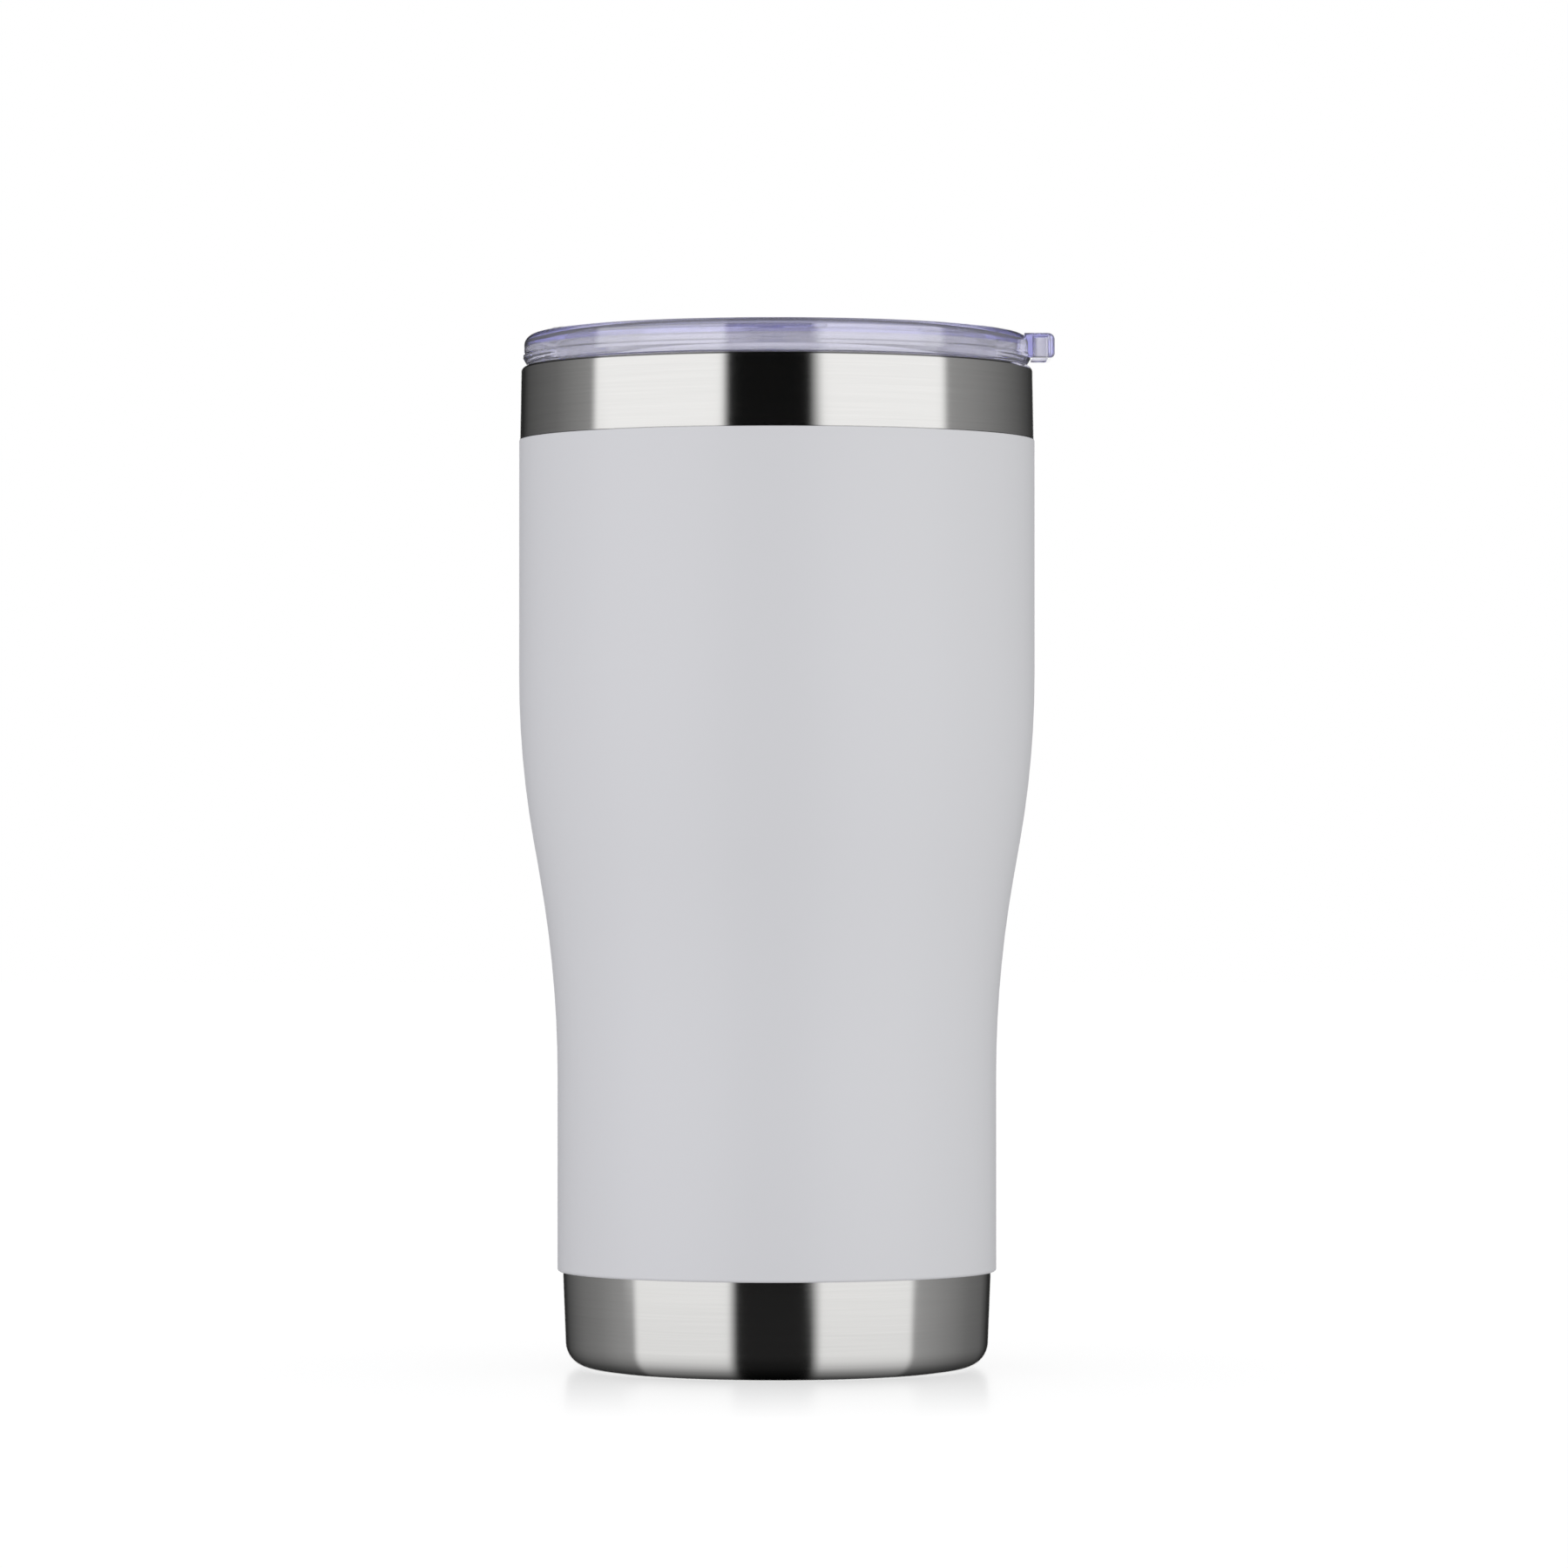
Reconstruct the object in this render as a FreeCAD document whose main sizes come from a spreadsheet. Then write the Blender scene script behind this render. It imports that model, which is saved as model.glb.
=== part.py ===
"""Insulated tumbler with lid: a FreeCAD document whose pieces are all driven by one sheet of dimensions.

Frame: millimetres, +Z up along the cup's axis, origin at the centre of the foot ring's contact plane, and +X
towards the lid's lift tab.
"""
import FreeCAD, Part

import math
import os

import Sketcher

# ---------------------------------------------------------------------------------------------------------------
# Driving dimensions: the sheet's names, their values in millimetres (degrees for the slope) and what they are.
# ---------------------------------------------------------------------------------------------------------------
DIMENSIONS = [
    ("body_radius", 43.5, "sleeve's outside, upper cylinder"),
    ("grip_radius", 37.0, "sleeve's outside, lower cylinder"),
    ("curve_top", 117.0, "height where the upper cylinder starts to curve in"),
    ("upper_arc", 162.0, "radius of the convex bend"),
    ("lower_arc", 193.0, "radius of the concave bend"),
    ("flank_slope", 10.0, "angle of the straight flank from the vertical"),
    ("sleeve_wall", 0.8, "thickness of the grip sleeve"),
    ("sleeve_gap", 0.1, "clearance between sleeve and shell"),
    ("sleeve_bottom", 16.4, "height of the sleeve's lower edge"),
    ("sleeve_top", 156.5, "height of the sleeve's upper edge"),
    ("sleeve_round", 0.5, "rounding of the sleeve's lower edge"),
    ("sleeve_top_round", 0.2, "rounding of the sleeve's upper edge"),
    ("shell_wall", 0.6, "thickness of the outer shell"),
    ("band_radius", 43.4, "shell's outside just above the shoulder"),
    ("rim_radius", 43.2, "shell's outside at the rim"),
    ("rim_top", 168.9, "height of the rim"),
    ("rim_round", 1.0, "rounding of the rim's outer corner"),
    ("seam_radius", 42.0, "weld between shell and liner on the rim"),
    ("weld_gap", 0.05, "clearance that stands for a weld line"),
    ("draft_top", 15.5, "height where the shell's foot starts to draw in"),
    ("base_radius", 35.5, "shell's outside at the contact plane, before rounding"),
    ("base_round", 4.6, "rounding of the shell's bottom corner"),
    ("foot_radius", 28.6, "inside of the foot ring"),
    ("foot_round", 0.5, "rounding of the foot ring's inner edge"),
    ("foot_flange_top", 4.0, "top of the foot ring's inner flange"),
    ("liner_offset", 4.6, "liner's inside, measured in from the sleeve's outside"),
    ("liner_wall", 0.5, "thickness of the liner"),
    ("floor_top", 9.0, "height of the cup's floor"),
    ("floor_round", 6.0, "rounding between the cup's floor and its wall"),
    ("lip_round", 1.2, "rounding of the lip's inner corner"),
    ("plate_radius", 28.5, "outside of the base plate"),
    ("plate_wall", 0.6, "thickness of the base plate"),
    ("plate_top", 3.8, "top of the base plate"),
    ("plate_rim_bottom", 1.9, "lower edge of the base plate's turned-down rim"),
    ("dimple_radius", 6.6, "foot of the raised dimple in the base plate"),
    ("dimple_draft", 1.0, "how far the dimple's side leans in"),
    ("dimple_height", 2.0, "height of the dimple"),
    ("port_radius", 1.0, "evacuation hole"),
    ("bead_radius", 4.4, "glass bead in the dimple"),
    ("bead_bottom", 3.9, "underside of the glass bead"),
    ("bead_gap", 0.05, "clearance of the bead in dimple and hole"),
    ("bead_round", 0.7, "rounding of the bead's lower edge"),
    ("cover_radius", 28.3, "outside of the base cover"),
    ("cover_bottom", 0.7, "underside of the base cover"),
    ("cover_wall", 0.6, "thickness of the base cover"),
    ("cover_panel_radius", 21.0, "recessed middle panel of the base cover"),
    ("cover_panel_step", 0.3, "depth of that panel"),
    ("getter_distance", 17.0, "getter's distance from the axis"),
    ("getter_radius", 4.4, "radius of the getter pill"),
    ("getter_thickness", 1.8, "thickness of the getter pill"),
    ("pan_wall", 0.3, "sheet of the getter's holder"),
    ("pan_height", 1.5, "height of the holder's pan"),
    ("pan_clearance", 0.1, "clearance around the getter and under the pan"),
    ("strap_reach", 8.5, "half length of the holder's strap"),
    ("strap_half", 2.0, "half the width of the holder's strap"),
    ("lid_top", 174.4, "height of the lid's top"),
    ("lid_foot", 169.05, "height of the skirt's lower edge"),
    ("lid_wall", 2.4, "thickness of the lid's top flange"),
    ("skirt_radius", 42.75, "skirt's outside"),
    ("skirt_inner", 41.5, "skirt's inside"),
    ("bead_line_radius", 42.9, "raised line around the skirt"),
    ("bead_line_top", 170.9, "upper end of the raised line's ramp"),
    ("bead_line_high", 170.6, "upper edge of the raised line"),
    ("bead_line_low", 170.1, "lower edge of the raised line"),
    ("skirt_foot_radius", 42.3, "skirt's outside at its lower edge"),
    ("lid_round", 2.0, "rounding of the lid's outer top edge"),
    ("well_top_radius", 36.4, "inside of the lid's well at the top"),
    ("well_radius", 35.2, "inside of the lid's well at the deck"),
    ("well_edge_round", 1.6, "rounding of the well's top edge"),
    ("well_floor_round", 1.5, "rounding between the deck and the well's wall"),
    ("plug_radius", 37.2, "outside of the plug"),
    ("plug_inner", 35.2, "inside of the plug, under the deck"),
    ("plug_bottom", 156.5, "lower edge of the plug"),
    ("plug_lead", 0.7, "chamfer that leads the plug into the mouth"),
    ("groove_radius", 36.4, "bottom of the gasket groove"),
    ("groove_low", 161.0, "lower side of the gasket groove"),
    ("groove_high", 165.0, "upper side of the gasket groove"),
    ("deck_top", 167.3, "top of the lid's deck"),
    ("deck_wall", 2.0, "thickness of the deck"),
    ("tab_root", 41.6, "where the tab starts inside the skirt"),
    ("tab_tip", 46.7, "tab's outer end"),
    ("tab_half_width", 7.0, "half the tab's width"),
    ("tab_bottom", 170.1, "underside of the tab"),
    ("tab_height", 4.2, "height of the tab"),
    ("tab_corner_round", 1.2, "rounding of the tab's upright corners"),
    ("tab_top_round", 1.1, "rounding of the tab's top edge"),
    ("tab_foot_round", 0.8, "rounding of the tab's lower edge"),
    ("tab_hollow_root", 43.0, "inner side of the hollow under the tab"),
    ("tab_hollow_tip", 45.6, "outer side of the hollow under the tab"),
    ("tab_hollow_half_width", 5.8, "half the width of that hollow"),
    ("tab_hollow_depth", 3.3, "depth of that hollow"),
    ("tab_hollow_round", 0.8, "rounding of that hollow's corners"),
    ("drink_outer", 30.5, "far side of the drinking opening, from the axis"),
    ("drink_inner", 22.5, "near side of the drinking opening, from the axis"),
    ("drink_half_width", 7.0, "half the width of the drinking opening"),
    ("drink_round", 3.4, "rounding of the drinking opening's corners"),
    ("slot_left", 14.3, "stem slot's left end, from the axis"),
    ("slot_right", 4.8, "stem slot's right end, from the axis"),
    ("slot_half_width", 2.3, "half the stem slot's width"),
    ("slot_round", 0.8, "rounding of the stem slot's corners"),
    ("air_hole_distance", 24.0, "air hole's distance from the axis"),
    ("air_hole_radius", 1.2, "radius of the air hole"),
    ("rail_left", 26.0, "guide rail's left end, from the axis"),
    ("rail_right", 8.0, "guide rail's right end, from the axis"),
    ("rail_inner", 10.4, "inner side of a guide rail"),
    ("rail_outer", 11.6, "outer side of a guide rail"),
    ("rail_height", 1.9, "height of a guide rail"),
    ("rail_round", 0.4, "rounding of a guide rail's upright corners"),
    ("gasket_radius", 37.3, "outside of the gasket's band"),
    ("gasket_gap", 0.1, "clearance of the gasket in its groove"),
    ("fin_radius", 38.75, "tip of the gasket's fins"),
    ("fin_rise", 0.9, "how far a fin climbs towards its tip"),
    ("fin_root", 0.9, "thickness of a fin at its root"),
    ("fin_tip", 0.45, "thickness of a fin at its tip"),
    ("fin_first", 161.3, "lower fin's root"),
    ("fin_pitch", 1.9, "distance from fin to fin"),
    ("slider_left", 32.6, "slider's left end, from the axis"),
    ("slider_right", 6.0, "slider's right end, from the axis"),
    ("slider_half_width", 10.0, "half the slider's width"),
    ("slider_bottom", 167.6, "underside of the slider"),
    ("slider_thickness", 2.4, "thickness of the slider's plate"),
    ("slider_far_round", 6.0, "rounding of the slider's left corners"),
    ("slider_near_round", 2.5, "rounding of the slider's right corners"),
    ("slider_edge_round", 0.8, "rounding of the slider's top edge"),
    ("ridge_left", 3.0, "thumb ridge's left side, from the axis"),
    ("ridge_right", 1.2, "thumb ridge's right side, from the axis"),
    ("ridge_half_width", 7.0, "half the thumb ridge's width"),
    ("ridge_height", 1.1, "height of the thumb ridge"),
    ("ridge_round", 0.5, "rounding of the thumb ridge"),
    ("stem_left", 14.0, "stem's left side, from the axis"),
    ("stem_right", 8.0, "stem's right side, from the axis"),
    ("stem_half_width", 2.0, "half the stem's width"),
    ("stem_length", 4.4, "how far the stem reaches below the slider"),
    ("pad_left", 31.5, "slider seal's left side, from the axis"),
    ("pad_right", 21.3, "slider seal's right side, from the axis"),
    ("pad_half_width", 8.5, "half the slider seal's width"),
    ("pad_round", 4.4, "rounding of the slider seal's corners"),
    ("pad_bottom", 167.4, "underside of the slider seal"),
    ("pad_thickness", 1.1, "thickness of the slider seal"),
    ("pad_gap", 0.1, "clearance of the slider seal in its recess"),
    ("clip_left", 17.0, "retainer's left side, from the axis"),
    ("clip_right", 5.0, "retainer's right side, from the axis"),
    ("clip_half_width", 5.5, "half the retainer's width"),
    ("clip_bottom", 163.7, "underside of the retainer"),
    ("clip_thickness", 1.4, "thickness of the retainer"),
    ("clip_round", 1.5, "rounding of the retainer's corners"),
    ("clip_gap", 0.05, "clearance between retainer and stem"),
]
SIZES = {name: number for name, number, _ in DIMENSIONS}
SHEET = "Dimensions"
NEAR = 1e-3                                             # mm, for finding an edge by its place
UP = FreeCAD.Vector(0, 0, 1)
WALL_DOWN, WALL_UP, ROUND = STRETCHES = ("wall down", "wall up", "round")

document = FreeCAD.newDocument("Tumbler")


# ---------------------------------------------------------------------------------------------------------------
# Sums of the sheet's names: "rim_top - shell_wall" as a number, and as the expression that binds a size to it.
# ---------------------------------------------------------------------------------------------------------------
def value(terms):
    """The number that a sum such as "a - b + c" comes to."""
    total, sign = 0.0, 1.0
    for word in terms.split():
        if word in "+-":
            sign = -1.0 if word == "-" else 1.0
        else:
            total += sign * (SIZES[word] if word in SIZES else float(word))
    return total


def formula(terms):
    """The same sum as an expression over the sheet."""
    return " ".join(f"{SHEET}.{word}" if word in SIZES else word for word in terms.split())


def fill_sheet():
    sheet = document.addObject("Spreadsheet::Sheet", SHEET)
    for row, (name, number, note) in enumerate(DIMENSIONS, start=1):
        sheet.set(f"A{row}", name)
        sheet.set(f"B{row}", str(number))
        sheet.set(f"C{row}", note)
        sheet.setAlias(f"B{row}", name)
    document.recompute()


# ---------------------------------------------------------------------------------------------------------------
# Sketches
# ---------------------------------------------------------------------------------------------------------------
def bind(sketch, constraint, terms):
    """Adds a constraint whose size is a sum of the sheet's names."""
    index = sketch.addConstraint(constraint)
    sketch.setExpression(f"Constraints[{index}]", formula(terms))


def place_point(sketch, geometry, point, across, along):
    """Ties a sketch point to a sum across (sketch x) and a sum along (sketch y); None leaves one free."""
    for kind, terms, axis in (("DistanceX", across, -2), ("DistanceY", along, -1)):
        if terms is None:
            continue
        if abs(value(terms)) < NEAR:
            sketch.addConstraint(Sketcher.Constraint("PointOnObject", geometry, point, axis))
        else:
            bind(sketch, Sketcher.Constraint(kind, -1, 1, geometry, point, value(terms)), terms)


def add_line(sketch, start, end):
    """A straight link of an outline: (geometry, first point, last point, whether it runs smoothly on)."""
    return [(sketch.addGeometry(Part.LineSegment(start, end), False), 1, 2, False)]


def add_wall(sketch, upper, lower, offset, going_down):
    """The cup's curved wall, set in by an offset: cylinder, convex bend, flank, concave bend, cylinder."""
    slope = math.radians(SIZES["flank_slope"])
    convex_radius = value(f"upper_arc - {offset}")
    concave_radius = value(f"lower_arc + {offset}")
    arcs_total = value("upper_arc + lower_arc")
    flank_width = value("body_radius - grip_radius") - arcs_total * (1 - math.cos(slope))
    bend_end = SIZES["curve_top"] - arcs_total * math.sin(slope) - flank_width / math.tan(slope)
    convex_centre = FreeCAD.Vector(upper.x - convex_radius, SIZES["curve_top"], 0)
    concave_centre = FreeCAD.Vector(lower.x + concave_radius, bend_end, 0)
    convex = Part.ArcOfCircle(Part.Circle(convex_centre, UP, convex_radius), -slope, 0)
    concave = Part.ArcOfCircle(Part.Circle(concave_centre, UP, concave_radius), math.pi - slope, math.pi)
    curves = [
        Part.LineSegment(upper, convex.EndPoint),
        convex,
        Part.LineSegment(concave.StartPoint, convex.StartPoint),
        concave,
        Part.LineSegment(concave.EndPoint, lower),
    ]
    upper_line, upper_bend, flank, lower_bend, lower_line = [sketch.addGeometry(curve, False) for curve in curves]
    sketch.addConstraint(Sketcher.Constraint("Vertical", upper_line))
    sketch.addConstraint(Sketcher.Constraint("Vertical", lower_line))
    place_point(sketch, upper_line, 2, None, "curve_top")
    bind(sketch, Sketcher.Constraint("Radius", upper_bend, convex_radius), f"upper_arc - {offset}")
    bind(sketch, Sketcher.Constraint("Radius", lower_bend, concave_radius), f"lower_arc + {offset}")
    bind(sketch, Sketcher.Constraint("Angle", flank, math.pi / 2 - slope), "90 - flank_slope")
    down = [(upper_line, 1, 2), (upper_bend, 2, 1), (flank, 2, 1), (lower_bend, 1, 2), (lower_line, 1, 2)]
    if not going_down:
        down = [(curve, last, first) for curve, first, last in reversed(down)]
    return [(*link, number < 4) for number, link in enumerate(down)]


def add_round(sketch, start, end, radius):
    """An arc of up to half a turn, clockwise from start to end."""
    chord = end - start
    reach = math.sqrt(max(value(radius) ** 2 - chord.Length ** 2 / 4, 0.0))
    right = FreeCAD.Vector(chord.y, -chord.x, 0) / chord.Length
    centre = (start + end) / 2 + right * reach
    first, last = [math.atan2(point.y - centre.y, point.x - centre.x) for point in (end, start)]
    arc = Part.ArcOfCircle(Part.Circle(centre, UP, value(radius)), first, last)
    index = sketch.addGeometry(arc, False)
    bind(sketch, Sketcher.Constraint("Radius", index, value(radius)), radius)
    return [(index, 2, 1, False)]


def draw_outline(sketch, steps):
    """A closed outline: (across, along) corners, with a wall or a clockwise round between some of them."""
    corners = [step for step in steps if step[0] not in STRETCHES]
    points = [FreeCAD.Vector(value(across), value(along), 0) for across, along in corners]
    links, passed = [], 0
    for number, step in enumerate(steps):
        following = steps[(number + 1) % len(steps)]
        here, there = points[passed - 1], points[passed % len(points)]
        if step[0] == WALL_DOWN:
            links += add_wall(sketch, here, there, step[1], True)
        elif step[0] == WALL_UP:
            links += add_wall(sketch, there, here, step[1], False)
        elif step[0] == ROUND:
            links += add_round(sketch, here, there, step[1])
        else:
            passed += 1
            if following[0] not in STRETCHES:
                links += add_line(sketch, there, points[passed % len(points)])
    waiting = list(corners)
    for before, link in zip([links[-1]] + links, links):
        kind = "Tangent" if before[3] else "Coincident"
        sketch.addConstraint(Sketcher.Constraint(kind, before[0], before[2], link[0], link[1]))
        if not before[3]:
            place_point(sketch, link[0], link[1], *waiting.pop(0))


def draw_circle(sketch, across, radius):
    """A circle on the sketch's x axis."""
    centre = FreeCAD.Vector(value(across), 0, 0)
    index = sketch.addGeometry(Part.Circle(centre, UP, value(radius)), False)
    place_point(sketch, index, 3, across, "0")
    bind(sketch, Sketcher.Constraint("Radius", index, value(radius)), radius)


def draw_box(sketch, left, right, front, back):
    """A rectangle between two sums across and two sums along."""
    draw_outline(sketch, [(left, front), (right, front), (right, back), (left, back)])


# ---------------------------------------------------------------------------------------------------------------
# Features
# ---------------------------------------------------------------------------------------------------------------
def new_body(label):
    body = document.addObject("PartDesign::Body", label)
    body.Label = label
    return body


def new_sketch(body, name, plane, height=None):
    """An empty sketch on one of the body's own planes, moved along the plane's normal by a sum if given."""
    sketch = body.newObject("Sketcher::SketchObject", name)
    support = next(item for item in body.Origin.OriginFeatures if item.Role == plane)
    sketch.AttachmentSupport = [(support, "")]
    sketch.MapMode = "FlatFace"
    if height is not None:
        sketch.setExpression(".AttachmentOffset.Base.z", formula(height))
    return sketch


def turn(body, name, steps):
    """Revolves an outline in the XZ plane about the body's Z axis."""
    sketch = new_sketch(body, f"{name}_outline", "XZ_Plane")
    draw_outline(sketch, steps)
    feature = body.newObject("PartDesign::Revolution", name)
    feature.Profile = sketch
    feature.ReferenceAxis = (sketch, ["V_Axis"])
    feature.Angle = 360
    document.recompute()
    return feature


def extrude(body, kind, name, height, depth, draw, reverse=False):
    """A Pad upwards or a Pocket downwards from a level sketch that draw fills; reverse turns either round."""
    sketch = new_sketch(body, f"{name}_outline", "XY_Plane", height)
    draw(sketch)
    volume_before = body.Shape.Volume if body.Tip else 0.0
    feature = body.newObject(f"PartDesign::{kind}", name)
    feature.Profile = sketch
    feature.setExpression("Length", formula(depth))
    feature.Reversed = reverse
    document.recompute()
    grown = body.Shape.Volume - volume_before
    if grown * (-1 if kind == "Pocket" else 1) <= NEAR:
        raise RuntimeError(f"{body.Label}: {name} changed the volume by {grown:.4f} mm3")
    return feature


def soften(body, name, edges, size, kind="Fillet"):
    """A fillet or a chamfer on the named edges of the body as it is now."""
    if not edges:
        raise RuntimeError(f"{body.Label}: {name} found no edge")
    base = body.Tip
    feature = body.newObject(f"PartDesign::{kind}", name)
    feature.Base = (base, edges)
    feature.setExpression("Radius" if kind == "Fillet" else "Size", formula(size))
    document.recompute()
    return feature


def rings(body, *places):
    """The round edges about the body's axis at (radius, height) sums."""
    wanted = [(value(radius), value(height)) for radius, height in places]
    found = []
    for number, edge in enumerate(body.Shape.Edges, start=1):
        curve = edge.Curve
        if not isinstance(curve, Part.Circle) or math.hypot(curve.Center.x, curve.Center.y) > NEAR:
            continue
        for radius, height in wanted:
            if abs(curve.Radius - radius) < NEAR and abs(curve.Center.z - height) < NEAR:
                found.append(f"Edge{number}")
    return found


def edges_where(body, test):
    """The open edges that pass a test."""
    found = []
    for number, edge in enumerate(body.Shape.Edges, start=1):
        if len(edge.Vertexes) == 2 and test(edge):
            found.append(f"Edge{number}")
    return found


def uprights(body, across, along, low, high):
    """Upright straight edges at any of the x sums and any of the y sums, both signs of y, between two heights."""
    xs = [value(terms) for terms in across]
    ys = [value(terms) for terms in along]

    def fits(edge):
        first, last = edge.Vertexes[0].Point, edge.Vertexes[-1].Point
        level = math.hypot(first.x - last.x, first.y - last.y) < NEAR
        between = value(low) - NEAR < min(first.z, last.z) and max(first.z, last.z) < value(high) + NEAR
        at_x = any(abs(first.x - x) < NEAR for x in xs)
        at_y = any(abs(abs(first.y) - y) < NEAR for y in ys)
        return level and between and at_x and at_y

    return edges_where(body, fits)


def levels(body, height, beyond):
    """Level edges at one height whose middle lies further towards +X than a sum."""
    def fits(edge):
        points = [edge.valueAt(edge.FirstParameter + part * (edge.LastParameter - edge.FirstParameter))
                  for part in (0.0, 0.5, 1.0)]
        at_height = all(abs(point.z - value(height)) < NEAR for point in points)
        return at_height and points[1].x > value(beyond) + NEAR

    return edges_where(body, fits)


# ---------------------------------------------------------------------------------------------------------------
# The vacuum cup
# ---------------------------------------------------------------------------------------------------------------
SHELL_OUTSIDE = "sleeve_wall + sleeve_gap"
SHELL_INSIDE = f"{SHELL_OUTSIDE} + shell_wall"


def less(base, offset):
    """base - (offset), with the offset's signs turned."""
    flipped = {"+": "-", "-": "+"}
    return f"{base} - " + " ".join(flipped.get(word, word) for word in offset.split())


def make_grip_sleeve():
    """Moulded sleeve on the middle of the shell, held between the shoulder and its own grip."""
    body = new_body("grip_sleeve")
    turn(body, "sleeve", [
        ("body_radius", "sleeve_top"),
        (WALL_DOWN, "0"),
        ("grip_radius", "sleeve_bottom"),
        (less("grip_radius", "sleeve_wall"), "sleeve_bottom"),
        (WALL_UP, "sleeve_wall"),
        (less("body_radius", "sleeve_wall"), "sleeve_top"),
    ])
    soften(body, "lower_edge", rings(body, ("grip_radius", "sleeve_bottom")), "sleeve_round")
    soften(body, "upper_edge", rings(body, ("body_radius", "sleeve_top")), "sleeve_top_round")
    return body


def make_outer_shell():
    """Sheet steel outside wall: rim, band, shoulder over the sleeve, curved wall, drawn-in foot and foot ring."""
    body = new_body("outer_shell")
    shoulder = "sleeve_top + sleeve_gap"
    foot_inside = "foot_radius + shell_wall"
    turn(body, "shell", [
        ("seam_radius", "rim_top"),
        ("rim_radius", "rim_top"),
        ("band_radius", shoulder),
        (less("body_radius", SHELL_OUTSIDE), shoulder),
        (WALL_DOWN, SHELL_OUTSIDE),
        (less("grip_radius", SHELL_OUTSIDE), "draft_top"),
        ("base_radius", "0"),
        ("foot_radius", "0"),
        ("foot_radius", "foot_flange_top"),
        (foot_inside, "foot_flange_top"),
        (foot_inside, "shell_wall"),
        ("base_radius - shell_wall", "shell_wall"),
        (less("grip_radius", SHELL_INSIDE), "draft_top"),
        (WALL_UP, SHELL_INSIDE),
        (less("body_radius", SHELL_INSIDE), f"{shoulder} + shell_wall"),
        ("band_radius - shell_wall", f"{shoulder} + shell_wall"),
        ("rim_radius - shell_wall", "rim_top - shell_wall"),
        ("seam_radius", "rim_top - shell_wall"),
    ])
    soften(body, "bottom_corner", rings(body, ("base_radius", "0")), "base_round")
    inner_corner = rings(body, ("base_radius - shell_wall", "shell_wall"))
    soften(body, "bottom_corner_inside", inner_corner, "base_round - shell_wall")
    soften(body, "rim_corner", rings(body, ("rim_radius", "rim_top")), "rim_round")
    soften(body, "foot_ring_edge", rings(body, ("foot_radius", "0")), "foot_round")
    return body


def make_inner_liner():
    """Sheet steel cup that holds the drink, with its lip turned out to the seam."""
    body = new_body("inner_liner")
    outside = "liner_offset - liner_wall"
    lip = "seam_radius - weld_gap"
    turn(body, "liner", [
        (lip, "rim_top"),
        (less("body_radius", "liner_offset"), "rim_top"),
        (WALL_DOWN, "liner_offset"),
        (less("grip_radius", "liner_offset"), "floor_top"),
        ("0", "floor_top"),
        ("0", "floor_top - liner_wall"),
        (less("grip_radius", outside), "floor_top - liner_wall"),
        (WALL_UP, outside),
        (less("body_radius", outside), "rim_top - liner_wall"),
        (lip, "rim_top - liner_wall"),
    ])
    soften(body, "floor_corner", rings(body, (less("grip_radius", "liner_offset"), "floor_top")), "floor_round")
    outer_corner = rings(body, (less("grip_radius", outside), "floor_top - liner_wall"))
    soften(body, "floor_corner_outside", outer_corner, "floor_round + liner_wall")
    soften(body, "lip_corner", rings(body, (less("body_radius", "liner_offset"), "rim_top")), "lip_round")
    inner_bend = rings(body, (less("body_radius", outside), "rim_top - liner_wall"))
    soften(body, "lip_corner_underneath", inner_bend, "lip_round - liner_wall")
    return body


def make_base_plate():
    """Pressed dish that closes the vacuum space: turned-down rim, raised dimple, evacuation hole in its middle."""
    body = new_body("base_plate")
    underside = "plate_top - plate_wall"
    turn(body, "plate", [
        ("plate_radius", "plate_rim_bottom"),
        ("plate_radius", "plate_top"),
        ("dimple_radius + plate_wall", "plate_top"),
        (less("dimple_radius", "dimple_draft") + " + plate_wall", "plate_top + dimple_height"),
        ("port_radius", "plate_top + dimple_height"),
        ("port_radius", f"{underside} + dimple_height"),
        (less("dimple_radius", "dimple_draft"), f"{underside} + dimple_height"),
        ("dimple_radius", underside),
        ("plate_radius - plate_wall", underside),
        ("plate_radius - plate_wall", "plate_rim_bottom"),
    ])
    soften(body, "rim_bend", rings(body, ("plate_radius", "plate_top")), "plate_wall")
    return body


def make_evacuation_seal():
    """Glass bead that fills the dimple from below and plugs the evacuation hole."""
    body = new_body("evacuation_seal")
    dimple_under = "plate_top - plate_wall + dimple_height"
    turn(body, "bead", [
        ("0", "bead_bottom"),
        ("bead_radius", "bead_bottom"),
        ("bead_radius", less(dimple_under, "bead_gap")),
        (less("port_radius", "bead_gap"), less(dimple_under, "bead_gap")),
        (less("port_radius", "bead_gap"), "plate_top + dimple_height"),
        ("0", "plate_top + dimple_height"),
    ])
    soften(body, "bead_edge", rings(body, ("bead_radius", "bead_bottom")), "bead_round")
    return body


def make_base_cover():
    """Cosmetic disc inside the foot ring, with a shallow recessed panel."""
    body = new_body("base_cover")
    top = "cover_bottom + cover_wall"
    turn(body, "cover", [
        ("0", "cover_bottom + cover_panel_step"),
        ("cover_panel_radius", "cover_bottom + cover_panel_step"),
        ("cover_panel_radius + cover_panel_step", "cover_bottom"),
        ("cover_radius", "cover_bottom"),
        ("cover_radius", top),
        ("cover_panel_radius", top),
        ("cover_panel_radius - cover_panel_step", f"{top} + cover_panel_step"),
        ("0", f"{top} + cover_panel_step"),
    ])
    soften(body, "cover_edge", rings(body, ("cover_radius", "cover_bottom")), "cover_panel_step")
    return body


def make_getter():
    """Getter pill, pressed from powder."""
    body = new_body("getter")
    seat = "plate_top + pan_clearance + pan_wall + pan_clearance"
    extrude(body, "Pad", "pill", seat, "getter_thickness",
            lambda sketch: draw_circle(sketch, "getter_distance", "getter_radius"))
    return body


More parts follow.
